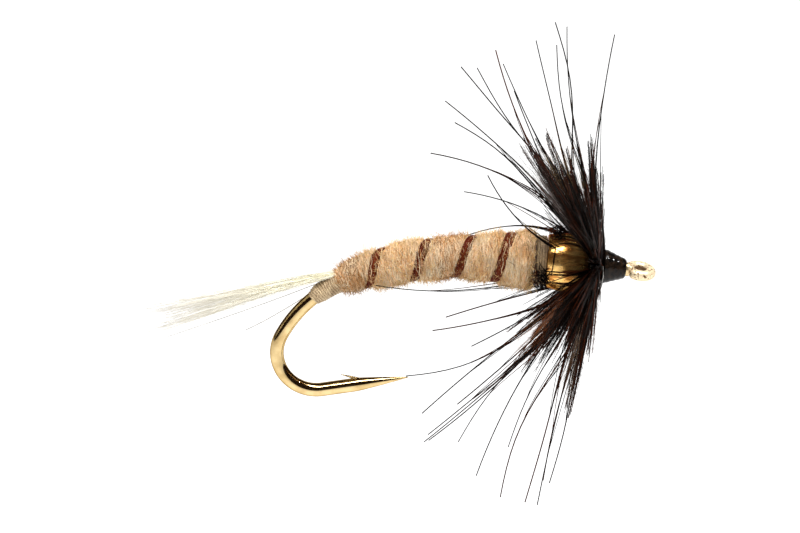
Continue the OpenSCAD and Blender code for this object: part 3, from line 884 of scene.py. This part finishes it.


# Long barbs, listed one by one: lean, reach, run to the far side, and bow towards the body
LONG_BARBS = (
    (-3, 10.6, 0.5, 0.5), (8.5, 11.1, 1.0, 0.3), (11.5, 11.3, -0.8, 0.2), (11.5, 10.4, 2.0, 0.1),
    (16.5, 10.8, 1.2, 0.3), (26, 10.4, 2.6, 0.1), (27, 11.0, -1.0, 0.5), (27, 9.0, 0.6, 0.4),
    (32.5, 10.8, 1.4, -0.2), (36, 11.2, -0.6, -0.45), (44, 10.5, 0.8, -0.4), (46, 9.5, 2.0, -0.35),
    (57, 9.5, 2.2, -1.0), (62, 7.2, 3.2, -0.6), (53, 6.7, -2.4, 0.8), (79, 6.5, 2.4, -1.0),
    (168, 10.8, 0.6, 0.0), (166, 10.7, -0.5, 0.1), (166, 11.9, -1.2, 0.15), (163.5, 12.0, 0.6, 0.2),
    (157.5, 12.1, -0.8, 0.2), (154.5, 9.8, 1.2, 0.1), (150.5, 11.7, 0.2, 0.5), (142, 10.8, -0.9, 0.1),
    (136, 11.9, 0.4, -0.55), (136.6, 11.7, 0.8, -0.5), (135.4, 11.5, 0.0, -0.5), (135.5, 9.5, 1.6, -0.3),
    (130.5, 11.0, -0.6, 0.1), (120.5, 10.6, 0.3, -1.0), (123.5, 7.2, 1.2, -0.2), (112, 8.5, -1.4, -0.6),
    (109.5, 7.7, -0.4, -0.1), (95.8, 10.6, -0.8, -0.5),
)

# Clumps of webby barbs that draw together at their tips: lean, reach, half width in degrees, barbs
CLUMPS = (
    (2.5, 4.4, 2, 16), (7.6, 6.0, 2.7, 45), (14, 3.0, 4, 16), (19.2, 5.6, 3.5, 40),
    (25, 6.7, 3.5, 33), (26, 4.4, 6, 33), (32.8, 6.9, 3, 30), (32.5, 6.2, 4, 20),
    (34.5, 4.9, 4, 28), (42.5, 3.9, 2, 8), (48, 3.0, 4, 12),
    (169, 4.6, 3, 18), (167.5, 7.4, 2.5, 30), (162, 4.4, 5, 34), (154, 4.6, 5, 30),
    (157.2, 5.4, 2.5, 22), (150, 3.8, 6, 30), (146.5, 6.0, 4, 32), (141.7, 6.4, 4, 34),
    (140, 4.8, 6, 34), (136, 4.2, 6, 30), (132, 4.4, 5, 24), (128.4, 5.4, 3, 26),
    (120, 4.9, 1.5, 8), (110, 3.9, 1.5, 8),
)


def run_across(lean, reach, length, sign):
    """How far a barb of that length must run across the picture's plane to look only reach long."""
    up = reach * np.cos(np.radians(lean))
    hidden = np.sqrt(np.maximum(length ** 2 - reach ** 2, 0))
    return up * math.sin(TILT) + sign * math.cos(TILT) * hidden


def long_barb_paths():
    """The barbs listed one by one. The longest sway a little, as free hairs do."""
    points = 18
    lean, reach, side, bow = np.array(LONG_BARBS, float).T
    bodywards = bodyward(lean)
    knees = leaning(lean, reach * 0.5, side * 0.5) + bodywards * (2 * bow)[:, None]
    paths = barb_paths(leaning(lean, reach, side), knees, points)
    loose = 0.13 * np.clip((reach - 7) / 3, 0, 1)
    wave = np.sin(2 * np.pi * np.linspace(0, 1, points))
    sway = np.random.default_rng(77).normal(0, loose)[:, None] * wave
    return paths + sway[..., None] * bodywards[:, None]


def companion_paths(guides):
    """Shorter barbs that cling to the long ones, so that those thicken towards their roots."""
    rng = np.random.default_rng(75)
    each = 5
    t = np.linspace(0, 1, 14)
    stray = (4 * t * (1 - t) + 0.6 * (1 - t))[:, None]
    paths = []
    for guide in guides:
        steps = np.arange(len(guide))
        for share in rng.uniform(0.35, 0.80, each):
            at = t * share * (len(guide) - 1)
            path = np.stack([np.interp(at, steps, column) for column in guide.T], -1)
            paths.append(path + rng.normal(0, 0.11, 3) * stray)
    return np.array(paths)


def clump_paths():
    """Each clump is three wisps at different depths. Its shorter barbs spread, its longest meet."""
    rng = np.random.default_rng(73)
    tips, knees = [], []
    for lean, reach, half_width, count in CLUMPS:
        per_wisp = count // 3
        for sign in (-1, 1, rng.choice([-1, 1])):
            side = run_across(lean, reach, max(reach + 0.3, rng.uniform(7.4, 10.6)), sign)
            share = 1 - 0.45 * rng.random(per_wisp) ** 1.3
            spread = half_width * rng.uniform(-1, 1, per_wisp)
            own_lean = lean + spread * (1 - share) * 3.0 + rng.normal(0, 0.35, per_wisp)
            own_side = side * share * rng.uniform(0.93, 1.05, per_wisp)
            knee_side = own_side * rng.uniform(0.4, 0.62, per_wisp)
            tips.append(leaning(own_lean, reach * share, own_side))
            knees.append(leaning(lean + spread * 1.6, reach * share * 0.5, knee_side))
    return barb_paths(np.concatenate(tips), np.concatenate(knees), seed=5)


def side_paths():
    """Barbs that point towards and away from the camera, so that they look short."""
    rng = np.random.default_rng(79)
    count = 150
    lean = either(rng, (5, 46), (128, 169), count)
    reach = rng.uniform(1.2, 3.7, count)
    side = run_across(lean, reach, rng.uniform(7.0, 10.4, count), rng.choice([-1, 1], count))
    knees = leaning(lean + rng.normal(0, 4, count), reach * 0.5, side * 0.55)
    return barb_paths(leaning(lean, reach, side), knees, seed=7)


def near_paths():
    """Barbs of the near side, which start straight out and lean back over the cone's nose."""
    rng = np.random.default_rng(81)
    count = 50
    lean, reach = rng.uniform(35, 145, count), rng.uniform(0.3, 0.95, count)
    side = run_across(lean, reach, rng.uniform(5.5, 9.0, count), -1)
    knees = leaning(lean, reach * 0.6, side * 0.5)
    return barb_paths(leaning(lean, reach, side), knees, seed=9)


def barbules_of(path, per_mm, span, length, rng):
    """Root, direction, length and barb's direction of each barbule along one barb."""
    first, last = span
    total = np.linalg.norm(np.diff(path, axis=0), axis=-1).sum()
    count = int(total * (last - first) * per_mm)
    t = rng.uniform(first, last, count)
    at = t * (len(path) - 1)
    low = np.clip(at.astype(int), 0, len(path) - 2)
    step = path[low + 1] - path[low]
    root = path[low] + (at - low)[:, None] * step
    barb_way = unit(step)
    plane = unit(np.cross(barb_way, unit(ACROSS + 0.5 * rng.normal(size=3))))
    sign = rng.choice([-1.0, 1.0], count)[:, None]
    spread = unit(plane * sign + 0.25 * rng.normal(size=(count, 3)))
    opening = np.radians(rng.uniform(16, 38, count))[:, None]
    way = np.cos(opening) * barb_way + np.sin(opening) * spread
    shorter = 1 - 0.45 * (t - first) / (last - first)
    return root, way, length * rng.uniform(0.5, 1.1, count) * shorter, barb_way


def barbules(name, paths, per_mm, span, length, seed):
    """The fine web along barbs: short hairs to both sides, over the span of each barb's length."""
    rng = np.random.default_rng(seed)
    found = [barbules_of(path, per_mm, span, length, rng) for path in paths]
    roots, ways, sizes, barb_ways = (np.concatenate(part) for part in zip(*found))
    t = np.linspace(0, 1, 3)
    path = curling(roots, ways, 0.2 * barb_ways, sizes, t)
    radii = thinning(rng, 0.0044, 0.0066, len(roots), t)
    strands(name, path, radii, WEB, seed=seed)


def hackle():
    """All barbs of the feather, with their web."""
    long_ones, clumps = long_barb_paths(), clump_paths()
    is_upper = clumps[:, -1, 2] > CENTRE[2]
    upper, lower = clumps[is_upper], clumps[~is_upper]
    sides = np.concatenate([side_paths(), near_paths()])
    barbs("hackle_long_barbs", long_ones, 83, 0.042, 0.028, 5, ["hackle_barbs_front"])
    barbs("hackle_companion_barbs", companion_paths(long_ones), 85, 0.036, 0.012)
    barbs("hackle_upper_clumps", upper, 89, replaced=["hackle_barbs_middle"])
    barbs("hackle_lower_clumps", lower, 89, replaced=["hackle_barbs_rear"])
    barbs("hackle_side_barbs", sides, 97, replaced=["hackle_swept_barbs"])
    barbules("hackle_web_upper", upper, 6.5, (0.08, 0.95), 0.7, 101)
    barbules("hackle_web_lower", lower, 6.5, (0.08, 0.95), 0.7, 103)
    barbules("hackle_web_long", long_ones, 10, (0.05, 0.5), 0.6, 107)


def down(name, count, upper_lean, lower_lean, reach, material, seed, replaced=()):
    """Soft curling down at the roots of the barbs, in a range of leans above and below."""
    rng = np.random.default_rng(seed)
    lean = either(rng, upper_lean, lower_lean, count)
    side = rng.normal(0, 1.6, count)
    reach = rng.uniform(*reach, count)
    bent = side + rng.normal(0, 0.3, count)
    knees = leaning(lean + rng.normal(0, 3, count), reach * 0.55, bent)
    paths = barb_paths(leaning(lean, reach, side), knees)
    t = np.linspace(0, 1, 12)
    size = rng.normal(0, 0.03, (count, 1, 3))
    curl = size * np.sin(9 * t + rng.uniform(0, 6, (count, 1)))[..., None]
    radii = thinning(rng, 0.006, 0.009, count, t)
    strands(name, paths + curl, radii, material, replaced, seed=seed)


def hackle_down():
    down("hackle_down_fluff", 240, (2, 46), (124, 170), (1.2, 4.4), DOWN, 113, ["hackle_down"])
    down("hackle_brown_fluff", 200, (14, 30), (130, 144), (3.8, 6.2), WARM_DOWN, 115)
    down("hackle_grey_web", 200, (28, 40), (161, 168), (4.2, 7.2), DOWN, 117)


# ---- head ----

def head_r(s):
    """Outer radius of the varnished head, a cone that widens from the eye to the hackle."""
    return np.interp(s, [HEAD_FRONT, 0.9, 1.18, 1.41, 1.6, HEAD_REAR],
                     [0.43, 0.53, 0.63, 0.72, 0.79, 0.82])


def head():
    """Varnish with the thread's ridges showing faintly through it."""
    s, a = skin_grid(np.linspace(HEAD_FRONT, HEAD_REAR, 90), 120)
    radius = head_r(s) + 0.007 * np.sin(2 * np.pi * (s / 0.25 - a / 360))
    radius = radius + 0.010 * lumps(around(s, radius, a), 0.9, 127)
    edge = np.clip(np.minimum(s - HEAD_FRONT, HEAD_REAR - s) / 0.1, 0, 1)
    radius = WIRE_R + (radius - WIRE_R) * np.sqrt(1 - (1 - edge) ** 2)
    surface("varnished_head", around(s, radius, a), VARNISH, ["head_varnish"])


def pale_quill():
    """A pale strand for the quill's trimmed end, between head and hackle on the near side, whose pale
    colour is a painted glint.
    """
    t = np.linspace(0, 1, 16)
    path = around(HEAD_REAR - 0.06 * np.sin(math.pi * t), 0.62 + 0.42 * t, -75 - 75 * t)
    radii = 0.022 * (1 - 0.4 * t)
    strands("quill_end", path[None], radii[None], GLINT_PAINTED_QUILL, sides=6, seed=131)


# ---- CAD pieces that keep their shape ----

def dress_cad_nodes():
    looks = {"thread_base": TAN_THREAD, "tail_binding": TAN_THREAD, "cone_packing": TAN_THREAD,
             "rib_tie_off": DARK_THREAD, "hackle_stem": QUILL, "head_thread": BLACK_THREAD,
             "whip_finish": BLACK_THREAD}
    for node, material in looks.items():
        piece = frame["nodes"][node]
        piece.data.materials.clear()
        piece.data.materials.append(material)


# ---- studio ----

# What the camera looks at, and from how far, to frame the fly as the photograph does
AIM = Vector((-11.29, 0.0, 0.22)) * MM
CAMERA_DISTANCE = 209.2 * MM


def camera():
    data = bpy.data.cameras.new("camera")
    data.lens = 200
    data.sensor_width = 36
    data.clip_start = 0.01
    data.clip_end = 5
    piece = add_object("camera", data)
    up = math.radians(VIEW_UP)
    towards = Vector((0, -math.cos(up), math.sin(up)))
    piece.location = AIM + towards * CAMERA_DISTANCE
    piece.rotation_euler = (-towards).to_track_quat("-Z", "Y").to_euler()
    bpy.context.scene.camera = piece


def floor():
    """A pale light table, far enough below for the fly's shadow to be lost."""
    drop, radius, sides = -60 * MM, 1.5, 64
    turn = [2 * math.pi * i / sides for i in range(sides)]
    rim = [(radius * math.cos(t), radius * math.sin(t), drop) for t in turn]
    mesh = bpy.data.meshes.new("floor")
    mesh.from_pydata(rim, [], [list(range(sides))])
    m = Material("light_table", rough=0.9)
    m.colour(m.ramp(m.noise(0.02), ((0.0, (0.50, 0.50, 0.50)), (1.0, (0.53, 0.53, 0.53)))))
    m.set(m.shader, **{"Emission Color": (1.0, 1.0, 1.0, 1.0), "Emission Strength": 0.55})
    mesh.materials.append(m.data)
    add_object("floor", mesh)


def world():
    """White behind and below. Reflections see a dark room in front, as in an open light tent."""
    data = bpy.data.worlds.new("studio")
    bpy.context.scene.world = data
    data.use_nodes = True
    w = Nodes(data.node_tree)
    way = w.add("TexCoord").outputs["Generated"]
    above_table = w.span(w.axis(way, "Z"), 0, 1, -0.03, 0.03, curve="SMOOTHSTEP")
    in_front = w.span(w.axis(way, "Y"), 0, 1, 0.92, 0.78, curve="SMOOTHSTEP")
    reflected = w.add("LightPath").outputs["Is Glossy Ray"]
    dark = w.times(w.times(above_table, in_front), reflected)
    room = w.mix(dark, (1.05, 1.05, 1.05), (0.016, 0.007, 0.003))
    w.link(room, w.tree.nodes["Background"].inputs["Color"])


def area_light(name, place, size, watts, glossy=True):
    """A rectangular lamp, (width, depth) in size, that faces the fly."""
    data = bpy.data.lights.new(name, "AREA")
    data.shape = "RECTANGLE"
    data.size, data.size_y = (side * MM for side in size)
    data.energy = watts
    piece = add_object(name, data)
    piece.location = Vector(place) * MM
    away = piece.location - AIM
    piece.rotation_euler = away.to_track_quat("Z", "Y").to_euler()
    piece.visible_glossy = glossy


def studio():
    camera()
    floor()
    world()
    area_light("key", (-80, -150, 170), (120, 120), 0.12, glossy=False)
    area_light("strip_lamp", (15, -32, 185), (190, 40), 0.45)
    area_light("glint_lamp", (98, -20, 149), (12, 12), 0.12)
    bpy.context.scene.view_settings.view_transform = "Standard"


hook()
rear_wraps()
collar()
fur_core()
fur_fibres("fur_fibres_front", BODY_FRONT, BODY_MIDDLE, 3400, 23)
fur_fibres("fur_fibres_rear", BODY_MIDDLE - 0.1, BODY_REAR, 3000, 27)
fur_fuzz("fur_fuzz_front", BODY_FRONT + 0.02, BODY_MIDDLE, 3600, 29)
fur_fuzz("fur_fringe", BODY_FRONT - 0.03, BODY_FRONT + 0.3, 900, 33)
fur_fuzz("fur_fuzz_rear", BODY_MIDDLE, BODY_REAR, 3600, 31)
guard_hairs()
rib()
tail()
stray_tail_fibres()
gold_cone()
caught_barbs()
barbs_over_cone()
hackle()
hackle_down()
head()
pale_quill()
dress_cad_nodes()
studio()
